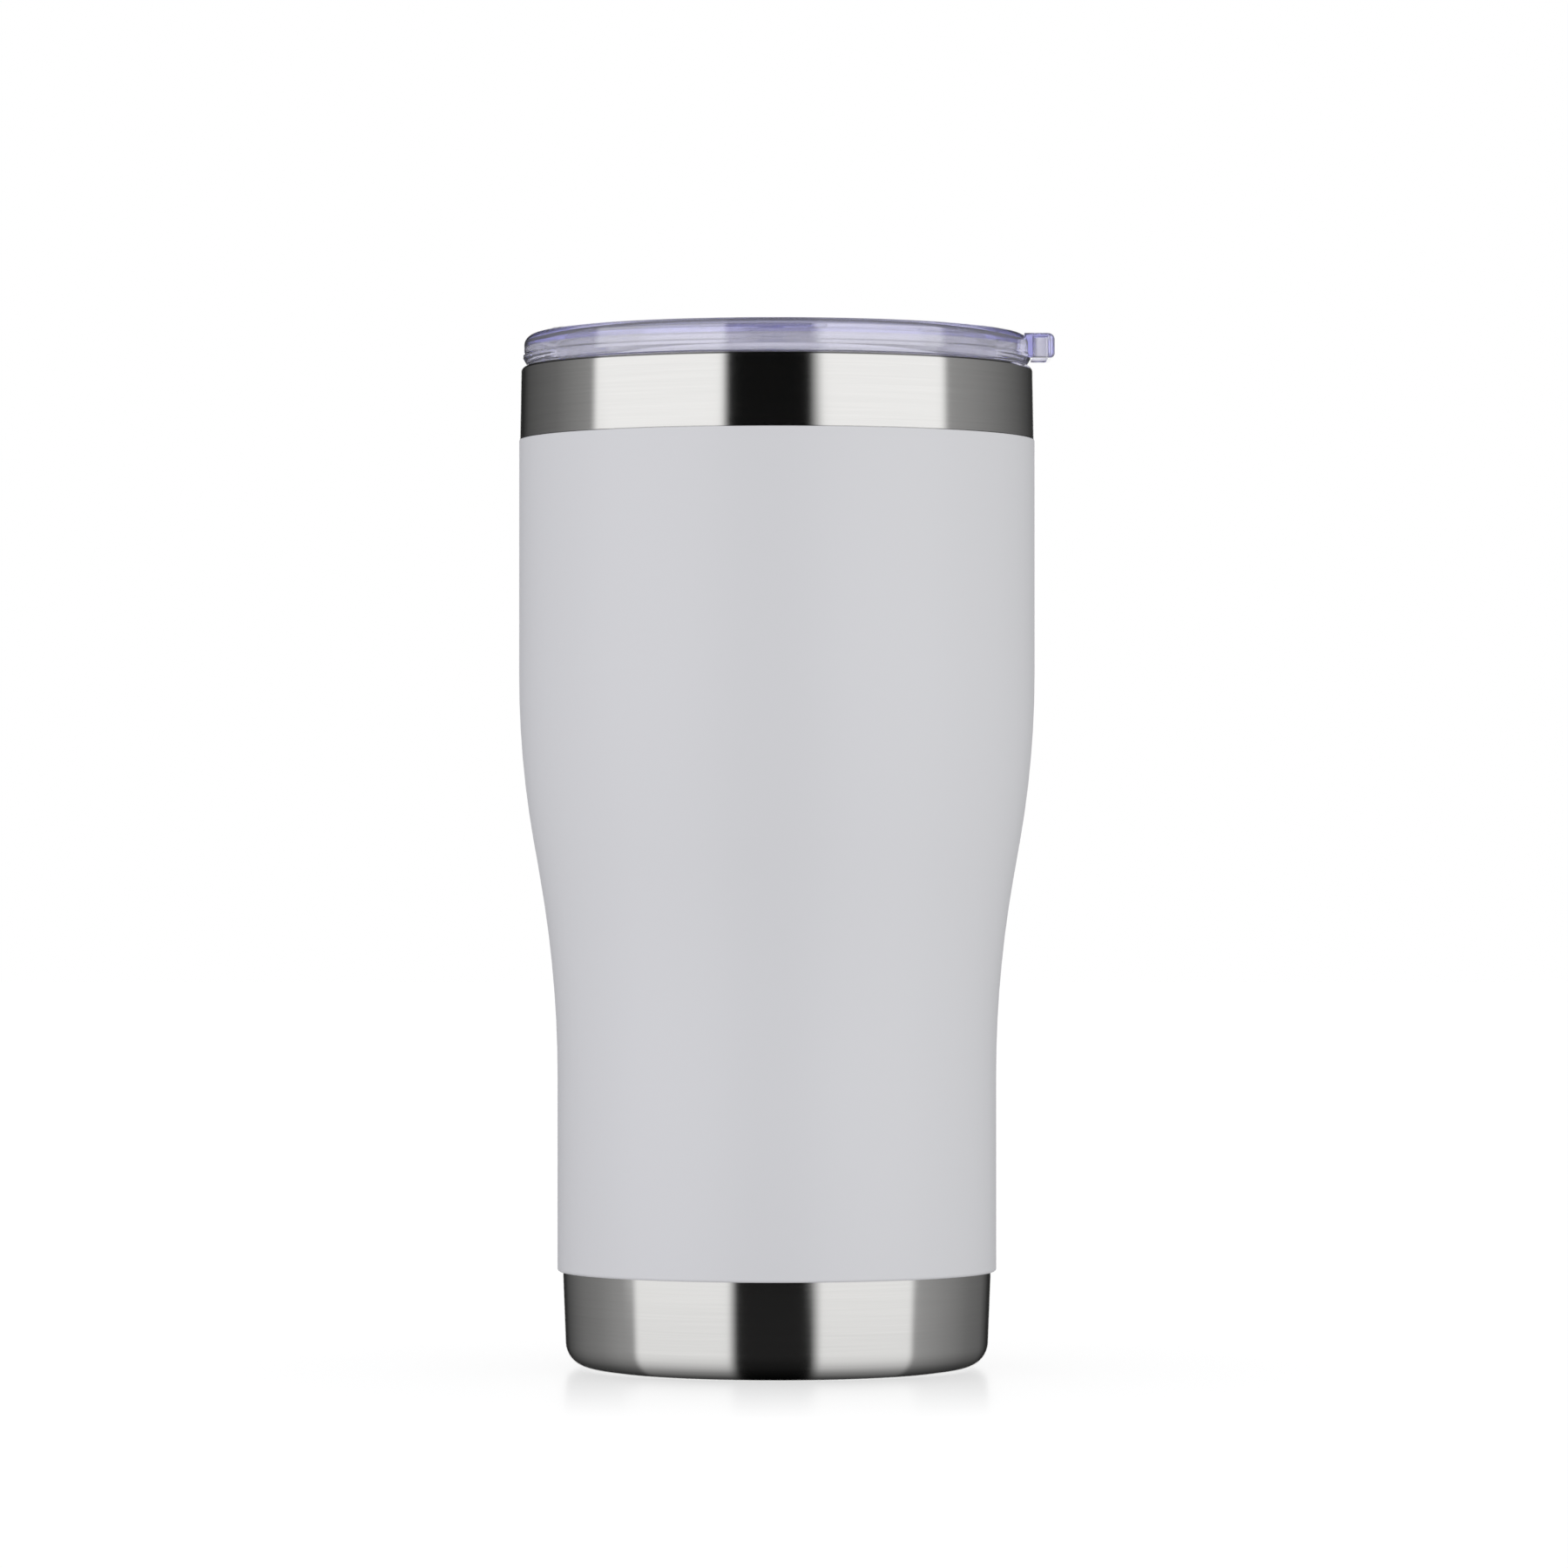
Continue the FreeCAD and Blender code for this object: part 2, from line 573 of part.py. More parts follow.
def make_getter_holder():
    """Sheet pan for the getter, with a strap that is spot-welded to the base plate."""
    body = new_body("getter_holder")
    seat = "plate_top + pan_clearance"
    pan_inside = "getter_radius + pan_clearance"

    def pan(sketch):
        draw_circle(sketch, "getter_distance", f"{pan_inside} + pan_wall")

    def strap(sketch):
        left = "getter_distance - strap_reach"
        right = "getter_distance + strap_reach"
        draw_box(sketch, left, right, "0 - strap_half", "strap_half")

    extrude(body, "Pad", "pan", seat, "pan_height", pan)
    extrude(body, "Pocket", "pan_hollow", f"{seat} + pan_height", "pan_height - pan_wall",
            lambda sketch: draw_circle(sketch, "getter_distance", pan_inside))
    extrude(body, "Pad", "strap", seat, "pan_wall", strap)
    return body


# ---------------------------------------------------------------------------------------------------------------
# The lid
# ---------------------------------------------------------------------------------------------------------------
def box_drawer(left, right, half_width):
    """Draws a rectangle from one x sum to another, as wide on each side of the X axis as half_width."""
    return lambda sketch: draw_box(sketch, left, right, less("0", half_width), half_width)


def start_lift_tab(body):
    """The block of the tab on the skirt, for a fingertip to lift the lid by, rounded while it stands alone."""
    tab_top = "tab_bottom + tab_height"
    extrude(body, "Pad", "lift_tab", "tab_bottom", "tab_height", box_drawer("tab_root", "tab_tip", "tab_half_width"))
    corners = uprights(body, ["tab_tip"], ["tab_half_width"], "tab_bottom", tab_top)
    soften(body, "tab_corners", corners, "tab_corner_round")
    soften(body, "tab_top_edge", levels(body, tab_top, "tab_root"), "tab_top_round")
    soften(body, "tab_foot_edge", levels(body, "tab_bottom", "tab_root"), "tab_foot_round")


def turn_lid(body):
    """The lid's round shape: flange and skirt on the rim, well, deck, and plug with its gasket groove."""
    deck_under = "deck_top - deck_wall"
    turn(body, "shell", [
        ("well_top_radius", "lid_top"),
        ("skirt_radius - lid_round", "lid_top"),
        (ROUND, "lid_round"),
        ("skirt_radius", "lid_top - lid_round"),
        ("skirt_radius", "bead_line_top"),
        ("bead_line_radius", "bead_line_high"),
        ("bead_line_radius", "bead_line_low"),
        ("skirt_foot_radius", "lid_foot"),
        ("skirt_inner", "lid_foot"),
        ("skirt_inner", "lid_top - lid_wall"),
        ("plug_radius", "lid_top - lid_wall"),
        ("plug_radius", "groove_high"),
        ("groove_radius", "groove_high"),
        ("groove_radius", "groove_low"),
        ("plug_radius", "groove_low"),
        ("plug_radius", "plug_bottom"),
        ("plug_inner", "plug_bottom"),
        ("plug_inner", deck_under),
        ("0", deck_under),
        ("0", "deck_top"),
        ("well_radius", "deck_top"),
    ])
    soften(body, "well_edge", rings(body, ("well_top_radius", "lid_top")), "well_edge_round")
    soften(body, "well_floor", rings(body, ("well_radius", "deck_top")), "well_floor_round")
    soften(body, "plug_lead_in", rings(body, ("plug_radius", "plug_bottom")), "plug_lead", "Chamfer")


def hollow_lift_tab(body):
    """Opens the tab from underneath."""
    extrude(body, "Pocket", "tab_hollow", "tab_bottom", "tab_hollow_depth",
            box_drawer("tab_hollow_root", "tab_hollow_tip", "tab_hollow_half_width"), reverse=True)
    corners = uprights(body, ["tab_hollow_root", "tab_hollow_tip"], ["tab_hollow_half_width"],
                       "tab_bottom", "tab_bottom + tab_hollow_depth")
    soften(body, "tab_hollow_corners", corners, "tab_hollow_round")


def cut_deck(body):
    """The drinking opening, the stem's slot and the air hole."""
    extrude(body, "Pocket", "drinking_opening", "deck_top", "deck_wall",
            box_drawer("0 - drink_outer", "0 - drink_inner", "drink_half_width"))
    extrude(body, "Pocket", "stem_slot", "deck_top", "deck_wall",
            box_drawer("0 - slot_left", "slot_right", "slot_half_width"))
    extrude(body, "Pocket", "air_hole", "deck_top", "deck_wall",
            lambda sketch: draw_circle(sketch, "air_hole_distance", "air_hole_radius"))
    deck_under = "deck_top - deck_wall"
    corners = uprights(body, ["0 - drink_outer", "0 - drink_inner"], ["drink_half_width"], deck_under, "deck_top")
    soften(body, "drinking_opening_corners", corners, "drink_round")
    corners = uprights(body, ["0 - slot_left", "slot_right"], ["slot_half_width"], deck_under, "deck_top")
    soften(body, "stem_slot_ends", corners, "slot_round")


def add_rails(body):
    """Two rails on the deck that guide the slider."""
    def both_rails(sketch):
        draw_box(sketch, "0 - rail_left", "rail_right", "rail_inner", "rail_outer")
        draw_box(sketch, "0 - rail_left", "rail_right", "0 - rail_outer", "0 - rail_inner")

    extrude(body, "Pad", "rails", "deck_top", "rail_height", both_rails)
    rail_top = "deck_top + rail_height"
    ends = uprights(body, ["0 - rail_left", "rail_right"], ["rail_inner", "rail_outer"], "deck_top", rail_top)
    soften(body, "rail_ends", ends, "rail_round")


def make_lid_body():
    body = new_body("lid_body")
    start_lift_tab(body)
    turn_lid(body)
    hollow_lift_tab(body)
    cut_deck(body)
    add_rails(body)
    return body


def make_lid_gasket():
    """Silicone ring in the plug's groove, with two fins that climb towards the cup's wall."""
    body = new_body("lid_gasket")
    inside = "groove_radius + gasket_gap"
    steps = [
        (inside, "groove_high - gasket_gap"),
        (inside, "groove_low + gasket_gap"),
        ("gasket_radius", "groove_low + gasket_gap"),
    ]
    for fin in ("fin_first", "fin_first + fin_pitch"):
        steps += [
            ("gasket_radius", fin),
            ("fin_radius", f"{fin} + fin_rise"),
            ("fin_radius", f"{fin} + fin_rise + fin_tip"),
            ("gasket_radius", f"{fin} + fin_root"),
        ]
    steps.append(("gasket_radius", "groove_high - gasket_gap"))
    turn(body, "ring", steps)
    return body


def make_slider():
    """Closure plate with a thumb ridge on top, a recess for its seal underneath, and a stem through the deck."""
    body = new_body("slider")
    plate_top = "slider_bottom + slider_thickness"
    extrude(body, "Pad", "plate", "slider_bottom", "slider_thickness",
            box_drawer("0 - slider_left", "slider_right", "slider_half_width"))
    ends = {"far": ("0 - slider_left", "slider_far_round"), "near": ("slider_right", "slider_near_round")}
    for end, (across, size) in ends.items():
        corners = uprights(body, [across], ["slider_half_width"], "slider_bottom", plate_top)
        soften(body, f"{end}_corners", corners, size)
    soften(body, "plate_edge", levels(body, plate_top, "0 - skirt_radius"), "slider_edge_round")
    extrude(body, "Pad", "thumb_ridge", plate_top, "ridge_height",
            box_drawer("0 - ridge_left", "ridge_right", "ridge_half_width"))
    soften(body, "ridge_edge", levels(body, f"{plate_top} + ridge_height", "0 - skirt_radius"), "ridge_round")
    extrude(body, "Pad", "stem", "slider_bottom", "stem_length",
            box_drawer("0 - stem_left", "0 - stem_right", "stem_half_width"), reverse=True)
    extrude(body, "Pocket", "seal_recess", "slider_bottom", "pad_bottom + pad_thickness + pad_gap - slider_bottom",
            box_drawer("0 - pad_left - pad_gap", "0 - pad_right + pad_gap", "pad_half_width + pad_gap"),
            reverse=True)
    return body


def make_slider_seal():
    """Silicone pad that the slider presses round the drinking opening."""
    body = new_body("slider_seal")
    extrude(body, "Pad", "pad", "pad_bottom", "pad_thickness",
            box_drawer("0 - pad_left", "0 - pad_right", "pad_half_width"))
    corners = uprights(body, ["0 - pad_left", "0 - pad_right"], ["pad_half_width"],
                       "pad_bottom", "pad_bottom + pad_thickness")
    soften(body, "pad_corners", corners, "pad_round")
    return body


def make_slider_retainer():
    """Clip on the stem's end that holds the slider down on the deck from below."""
    body = new_body("slider_retainer")
    clip_top = "clip_bottom + clip_thickness"
    extrude(body, "Pad", "clip", "clip_bottom", "clip_thickness",
            box_drawer("0 - clip_left", "0 - clip_right", "clip_half_width"))
    corners = uprights(body, ["0 - clip_left", "0 - clip_right"], ["clip_half_width"], "clip_bottom", clip_top)
    soften(body, "clip_corners", corners, "clip_round")
    extrude(body, "Pocket", "stem_hole", clip_top, "clip_thickness",
            box_drawer("0 - stem_left - clip_gap", "0 - stem_right + clip_gap", "stem_half_width + clip_gap"))
    return body


def check_document():
    """Stops if any object failed to recompute."""
    for item in document.Objects:
        if {"Invalid", "Error"} & set(item.State):
            raise RuntimeError(f"{item.Label} is {item.State}")


def check_piece(body):
    """Stops unless the piece is one valid closed solid."""
    shape = body.Shape
    if shape.isNull() or not shape.isValid() or len(shape.Solids) != 1:
        raise RuntimeError(f"{body.Label}: not one valid solid")


def main():
    fill_sheet()
    pieces = [
        make_grip_sleeve(),
        make_outer_shell(),
        make_inner_liner(),
        make_base_plate(),
        make_evacuation_seal(),
        make_base_cover(),
        make_getter(),
        make_getter_holder(),
        make_lid_body(),
        make_lid_gasket(),
        make_slider(),
        make_slider_seal(),
        make_slider_retainer(),
    ]
    document.recompute()
    check_document()
    for body in pieces:
        check_piece(body)
    os.makedirs("parts", exist_ok=True)
    for body in pieces:
        body.Shape.exportStep(f"parts/{body.Label}.step")
        print(f"{body.Label}: {body.Shape.Volume:.1f} mm3")


main()
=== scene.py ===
"""Looks of the insulated tumbler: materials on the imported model, a studio round it, and the camera.

Lengths are in metres, unless a comment says millimetres. The frame is the CAD model's own: +Z up, the foot on
z = 0, the lid's tab towards +X.
"""
import math

import bpy
from mathutils import Matrix, Vector


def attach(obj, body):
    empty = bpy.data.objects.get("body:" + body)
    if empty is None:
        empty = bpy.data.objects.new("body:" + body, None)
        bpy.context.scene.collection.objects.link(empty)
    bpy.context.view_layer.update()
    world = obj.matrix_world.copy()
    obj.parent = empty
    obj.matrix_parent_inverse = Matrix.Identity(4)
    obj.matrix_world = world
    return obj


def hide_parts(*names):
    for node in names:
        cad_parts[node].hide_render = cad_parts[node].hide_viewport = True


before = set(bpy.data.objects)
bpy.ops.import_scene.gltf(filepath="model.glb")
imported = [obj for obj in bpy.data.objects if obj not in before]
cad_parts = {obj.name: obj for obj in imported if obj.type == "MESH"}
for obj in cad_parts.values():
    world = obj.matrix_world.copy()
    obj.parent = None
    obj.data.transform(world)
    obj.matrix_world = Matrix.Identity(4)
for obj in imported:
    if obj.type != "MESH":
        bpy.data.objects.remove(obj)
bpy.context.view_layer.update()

# ----------------------------------------------------------------------------------------------------------
# The camera and the studio. Panel angles are twice those of the mirroring surface's normal, measured from -Y:
# across is positive towards +X, height is positive upwards. An upright strip then mirrors as an upright strip.
# ----------------------------------------------------------------------------------------------------------
CAMERA_DISTANCE = 1.250
CAMERA_HEIGHT = 0.0853
CAMERA_AIM = Vector((0.0012, 0.0, 0.0985))
LENS_MM = 170.0
SENSOR_MM = 36.0

PANEL_LIGHT = 1.27                     # radiance of the white panels that the steel mirrors
PANELS_HIGH = [                        # angle across and share of that radiance, above BAND_HIGH
    (-180, 0.01), (-158, 0.02), (-147, 0.07), (-117, 0.14), (-91, 0.27),                   # grey side
    (-87, 1.0), (-24.5, 1.0),                                                              # left panel
    (-21.5, 0.0), (14.5, 0.0),                                                             # dark gap
    (20.5, 1.0), (78.5, 1.0),                                                              # right panel
    (82.5, 0.30), (107, 0.215), (130, 0.13), (148, 0.065), (160, 0.03), (180, 0.01),       # grey side
]
PANELS_LOW = [                         # the same below BAND_LOW
    (-180, 0.01), (-160, 0.03), (-150, 0.09), (-129, 0.19), (-110, 0.25), (-95, 0.33), (-84.5, 0.36),
    (-80.5, 1.0), (-26.5, 1.0),
    (-21.5, 0.015), (18, 0.015),
    (24, 1.0), (76, 1.0),
    (80, 0.39), (100, 0.30), (126, 0.185), (144, 0.14), (158, 0.03), (180, 0.01),
]
BAND_LOW = -8.0                        # heights between which one table passes into the other
BAND_HIGH = 6.0
PANEL_HEIGHTS = [                      # angle of height and share
    (-180, 0.02), (-126, 0.065), (-90, 0.26), (-64, 0.52), (-40, 0.71), (-15, 0.82), (-8, 0.86), (2, 1.0),
    (50, 1.0), (64, 0.18), (90, 0.12), (180, 0.05),
]
BACKDROP_WIDTH = 10.0                  # degrees either side of +Y where the faint mirror image shows white
BACKDROP_HEIGHT = 25.0
SOFT_LIGHT = 1.17                      # radiance that lights matt surfaces from all round
COOL_SIDE = (0.985, 0.985, 1.02)       # its tint from -X
WARM_SIDE = (1.0, 1.0, 0.985)          # and from +X
CEILING_START = 24.0                   # elevation where what shows through the lid starts to darken
CEILING_END = 50.0
CEILING_SHADE = 0.08
WHITE = (1.0, 1.0, 1.0)

FLOOR_SIZE = 8.0
FLOOR_SHADE = 0.14                     # the part of the floor's white that takes the contact shadow
FLOOR_GLOW = 0.86                      # and the part that does not
FLOOR_MIRROR = 0.41                    # strength of the faint mirror image, at the axis
FLOOR_MIRROR_REACH = 0.118             # distance from the axis where that image has faded out
FLOOR_MIRROR_BLUR = 0.22

# Finishes
SATIN_WARM = (0.556, 0.556, 0.573)     # the sleeve's two greys
SATIN_COOL = (0.577, 0.580, 0.606)
PLASTIC_TINT = (0.97, 0.965, 0.995)    # surface colour of the lid's plastic
PLASTIC_DEPTH = (0.16, 0.14, 0.95)     # colour that light takes on inside it
PLASTIC_IOR = 1.52
COAT_IOR = 2.2
MILKY = (0.78, 0.78, 0.84)

# The steel shell's profile, in millimetres, as the CAD model has it.
SEAM_RADIUS = 42.0
RIM_RADIUS = 43.2
RIM_TOP = 168.9
RIM_ROUND = 1.0
BAND_RADIUS = 43.4
SHOULDER = 156.6                       # the step that covers the sleeve's upper edge
BODY_RADIUS = 43.5                     # the sleeve's outside, upper and lower cylinder
GRIP_RADIUS = 37.0
CURVE_TOP = 117.0
UPPER_ARC = 162.0
LOWER_ARC = 193.0
FLANK_SLOPE = 10.0
SLEEVE_DEPTH = 0.9                     # how far the shell lies under the sleeve's outside
SHELL_WALL = 0.6
DRAFT_TOP = 15.5
BASE_RADIUS = 35.5
BASE_ROUND = 4.6
FOOT_RADIUS = 28.6
FOOT_ROUND = 0.5
FLANGE_TOP = 4.0
SHARP_ANGLE = 30.0                     # degrees between faces that keep a sharp edge
TURN_STEPS = 720                       # steps around the axis
FILLET_STEPS = 12                      # steps in each rounding
SEEN_STEPS = 24                        # steps in each arc of the shell's outside
HIDDEN_STEPS = 8                       # and of its inside, which is never seen


# ----------------------------------------------------------------------------------------------------------
# Node trees
# ----------------------------------------------------------------------------------------------------------
def add_node(tree, kind, inputs=(), **settings):
    """A new node. inputs maps a socket's name or number to a value, or to the output that feeds it."""
    node = tree.nodes.new(kind)
    for name, setting in settings.items():
        setattr(node, name, setting)
    for key, given in dict(inputs).items():
        if isinstance(given, bpy.types.NodeSocket):
            tree.links.new(given, node.inputs[key])
        else:
            node.inputs[key].default_value = given
    return node


def calculate(tree, operation, *values):
    """The output of a Math node."""
    return add_node(tree, "ShaderNodeMath", dict(enumerate(values)), operation=operation).outputs[0]


def ramp(tree, factor, stops):
    """A grey colour ramp with (position, value) stops, from 0 to 1."""
    node = add_node(tree, "ShaderNodeValToRGB", {"Fac": factor})
    elements = node.color_ramp.elements
    while len(elements) < len(stops):
        elements.new(0.5)
    for element, (position, shade) in zip(elements, stops):
        element.position = position
        element.color = (shade, shade, shade, 1.0)
    return node.outputs["Color"]


def spread(tree, factor, low, high):
    """Takes a factor from 0 to 1 to a range from low to high."""
    limits = {"Value": factor, "To Min": low, "To Max": high}
    return add_node(tree, "ShaderNodeMapRange", limits).outputs["Result"]


def mix_colours(tree, factor, first, second, blend="MIX"):
    """The output of a colour mix. The sockets are taken by number, because their names repeat."""
    node = add_node(tree, "ShaderNodeMix", data_type="RGBA", blend_type=blend)
    for key, given in ((0, factor), (6, first), (7, second)):
        if isinstance(given, bpy.types.NodeSocket):
            tree.links.new(given, node.inputs[key])
        else:
            node.inputs[key].default_value = given if key == 0 else (*given, 1.0)
    return node.outputs[2]


def squared(tree, value):
    return calculate(tree, "MULTIPLY", value, value)


def noise(tree, vector, scale, detail=2.0, roughness=0.5):
    """Noise from 0 to 1 at a point stretched by scale, a number or one for each axis."""
    stretch = scale if hasattr(scale, "__len__") else (scale,) * 3
    stretched = add_node(tree, "ShaderNodeMapping", {"Vector": vector, "Scale": stretch}).outputs["Vector"]
    settings = {"Vector": stretched, "Scale": 1.0, "Detail": detail, "Roughness": roughness}
    return add_node(tree, "ShaderNodeTexNoise", settings).outputs["Fac"]


def place(tree):
    """Where a point is on the object, in metres."""
    return add_node(tree, "ShaderNodeTexCoord").outputs["Object"]


def new_material(name):
    """An empty material with its Principled shader and output."""
    material = bpy.data.materials.new(name)
    material.use_nodes = True
    tree = material.node_tree
    tree.nodes.clear()
    shader = add_node(tree, "ShaderNodeBsdfPrincipled")
    add_node(tree, "ShaderNodeOutputMaterial", {"Surface": shader.outputs[0]})
    return material, tree, shader


def bump(tree, shader, height, strength, distance):
    """Fine relief from a height between 0 and 1, over a distance in metres."""
    node = add_node(tree, "ShaderNodeBump", {"Height": height, "Strength": strength, "Distance": distance})
    tree.links.new(node.outputs["Normal"], shader.inputs["Normal"])


# ----------------------------------------------------------------------------------------------------------
# Materials
# ----------------------------------------------------------------------------------------------------------
def brushed_steel(name, shade, rough, grain_depth, turned=False):
    """Steel brushed in rings about the axis: fine lines that run round walls, or circles on a turned disc."""
    material, tree, shader = new_material(name)
    spot = place(tree)
    if turned:
        apart = add_node(tree, "ShaderNodeSeparateXYZ", {"Vector": spot})
        across, along = squared(tree, apart.outputs["X"]), squared(tree, apart.outputs["Y"])
        radius = calculate(tree, "SQRT", calculate(tree, "ADD", across, along))
        rings = add_node(tree, "ShaderNodeCombineXYZ", {"Z": radius}).outputs["Vector"]
        fine = noise(tree, rings, 9000.0, 3.0, 0.6)
        broad = noise(tree, rings, 1600.0, 2.0)
    else:
        fine = noise(tree, spot, (45.0, 45.0, 9000.0), 3.0, 0.6)
        broad = noise(tree, spot, (28.0, 28.0, 1500.0), 2.0)
    streaks = mix_colours(tree, 0.4, fine, broad)
    dark, light = [tuple(channel * share for channel in shade) for share in (0.90, 1.07)]
    tree.links.new(mix_colours(tree, streaks, dark, light), shader.inputs["Base Color"])
    tree.links.new(spread(tree, streaks, *rough), shader.inputs["Roughness"])
    shader.inputs["Metallic"].default_value = 1.0
    shader.inputs["Anisotropic"].default_value = 0.75
    shader.inputs["Anisotropic Rotation"].default_value = 0.25
    tangent = add_node(tree, "ShaderNodeTangent", direction_type="RADIAL", axis="Z")
    tree.links.new(tangent.outputs["Tangent"], shader.inputs["Tangent"])
    bump(tree, shader, streaks, grain_depth, 0.00001)
    return material


def sleeve_coat():
    """Light cool grey satin coat with a fine moulded texture and slightly uneven gloss."""
    material, tree, shader = new_material("sleeve_coat")
    spot = place(tree)
    pores = noise(tree, spot, 2600.0, 3.0, 0.6)
    patches = noise(tree, spot, (16.0, 16.0, 5.0), 3.0)
    tree.links.new(mix_colours(tree, patches, SATIN_WARM, SATIN_COOL), shader.inputs["Base Color"])
    tree.links.new(spread(tree, mix_colours(tree, 0.5, pores, patches), 0.34, 0.46), shader.inputs["Roughness"])
    shader.inputs["IOR"].default_value = 1.46
    bump(tree, shader, pores, 0.25, 0.00003)
    return material


def clear_plastic(name, density, clearness, rough):
    """Moulded clear violet plastic: tinted all through, with faint flow lines and handling marks."""
    material, tree, shader = new_material(name)
    spot = place(tree)
    flow = noise(tree, spot, 70.0, 2.0)
    marks = noise(tree, spot, 900.0, 4.0, 0.7)
    veiled = tuple(channel * 0.98 for channel in PLASTIC_TINT)
    tree.links.new(mix_colours(tree, flow, PLASTIC_TINT, veiled), shader.inputs["Base Color"])
    tree.links.new(spread(tree, marks, *rough), shader.inputs["Roughness"])
    shader.inputs["IOR"].default_value = PLASTIC_IOR
    shader.inputs["Transmission Weight"].default_value = clearness
    shader.inputs["Coat Weight"].default_value = 1.0
    shader.inputs["Coat Roughness"].default_value = 0.02
    shader.inputs["Coat IOR"].default_value = COAT_IOR
    bump(tree, shader, flow, 0.02, 0.0004)
    volume = add_node(tree, "ShaderNodeVolumeAbsorption", {"Color": (*PLASTIC_DEPTH, 1.0), "Density": density})
    output = next(node for node in tree.nodes if node.type == "OUTPUT_MATERIAL")
    tree.links.new(volume.outputs[0], output.inputs["Volume"])
    return material


def silicone(name, shade):
    """Milky silicone rubber, soft sheen, a little light under the skin."""
    material, tree, shader = new_material(name)
    spot = place(tree)
    cloud = noise(tree, spot, 260.0, 3.0)
    dull = tuple(channel * 0.92 for channel in shade)
    tree.links.new(mix_colours(tree, cloud, dull, shade), shader.inputs["Base Color"])
    tree.links.new(spread(tree, cloud, 0.38, 0.55), shader.inputs["Roughness"])
    shader.inputs["Subsurface Weight"].default_value = 0.3
    shader.inputs["Subsurface Scale"].default_value = 0.001
    bump(tree, shader, noise(tree, spot, 3000.0, 2.0), 0.12, 0.00002)
    return material


def fused_glass():
    """Dark solder glass of the evacuation bead, with a flowed surface."""
    material, tree, shader = new_material("fused_glass")
    flow = noise(tree, place(tree), 420.0, 3.0)
    tree.links.new(mix_colours(tree, flow, (0.05, 0.05, 0.06), (0.12, 0.12, 0.13)), shader.inputs["Base Color"])
    tree.links.new(spread(tree, flow, 0.08, 0.22), shader.inputs["Roughness"])
    bump(tree, shader, flow, 0.3, 0.0002)
    return material


def pressed_powder():
    """Grainy dark getter powder."""
    material, tree, shader = new_material("pressed_powder")
    grains = noise(tree, place(tree), 5200.0, 4.0, 0.7)
    dark, light = (0.06, 0.06, 0.06), (0.22, 0.21, 0.2)
    tree.links.new(mix_colours(tree, grains, dark, light), shader.inputs["Base Color"])
    tree.links.new(spread(tree, grains, 0.7, 0.95), shader.inputs["Roughness"])
    bump(tree, shader, grains, 0.6, 0.00008)
    return material


def lathe(name, profile, material):
    """Turns a closed profile of (radius, height) points about the Z axis. Its outer side runs downwards."""
    mesh = bpy.data.meshes.new(name)
    count = len(profile)
    points = []
    for step in range(TURN_STEPS):
        angle = 2 * math.pi * step / TURN_STEPS
        points += [(radius * math.cos(angle), radius * math.sin(angle), height) for radius, height in profile]
    faces = []
    for step in range(TURN_STEPS):
        here, there = step * count, (step + 1) % TURN_STEPS * count
        for spot in range(count):
            after = (spot + 1) % count
            faces.append((here + spot, here + after, there + after, there + spot))
    mesh.from_pydata(points, [], faces)
    mesh.validate()
    mesh.polygons.foreach_set("use_smooth", [True] * len(mesh.polygons))
    mesh.set_sharp_from_angle(angle=math.radians(SHARP_ANGLE))
    mesh.materials.append(material)
    piece = bpy.data.objects.new(name, mesh)
    bpy.context.scene.collection.objects.link(piece)
    return piece


def rounded(corner, before, after, radius):
    """Points of a fillet at the corner between two neighbouring corners of a profile, from before to after."""
    start, end = [(point - corner).normalized() for point in (before, after)]
    opening = start.angle(end)
    reach = radius / math.tan(opening / 2)
    centre = corner + (start + end).normalized() * radius / math.sin(opening / 2)
    first, last = corner + start * reach - centre, corner + end * reach - centre
    sweep = first.angle_signed(last)
    points = []
    for step in range(FILLET_STEPS + 1):
        turned = first.copy()
        turned.rotate(Matrix.Rotation(-sweep * step / FILLET_STEPS, 2))
        points.append(centre + turned)
    return points


def profile_of(corners):
    """A profile in metres from corners of (radius, height[, fillet]) in millimetres."""
    points = []
    spots = [Vector(corner[:2]) for corner in corners]
    for number, corner in enumerate(corners):
        if len(corner) == 3:
            before, after = spots[number - 1], spots[(number + 1) % len(spots)]
            points += rounded(spots[number], before, after, corner[2])
        else:
            points.append(spots[number])
    return [(point.x / 1000, point.y / 1000) for point in points]


def cup_wall(offset, steps):
    """The cup's curved wall from its upper bend down to its lower one, set in by an offset, in millimetres."""
    slope = math.radians(FLANK_SLOPE)
    arcs_total = UPPER_ARC + LOWER_ARC
    flank_width = BODY_RADIUS - GRIP_RADIUS - arcs_total * (1 - math.cos(slope))
    bend_end = CURVE_TOP - arcs_total * math.sin(slope) - flank_width / math.tan(slope)
    wall = []
    for step in range(steps + 1):
        angle = slope * step / steps
        convex = UPPER_ARC - offset
        wall.append((BODY_RADIUS - UPPER_ARC + convex * math.cos(angle), CURVE_TOP - convex * math.sin(angle)))
    for step in range(steps + 1):
        angle = slope * (1 - step / steps)
        concave = LOWER_ARC + offset
        wall.append((GRIP_RADIUS + LOWER_ARC - concave * math.cos(angle), bend_end + concave * math.sin(angle)))
    return wall


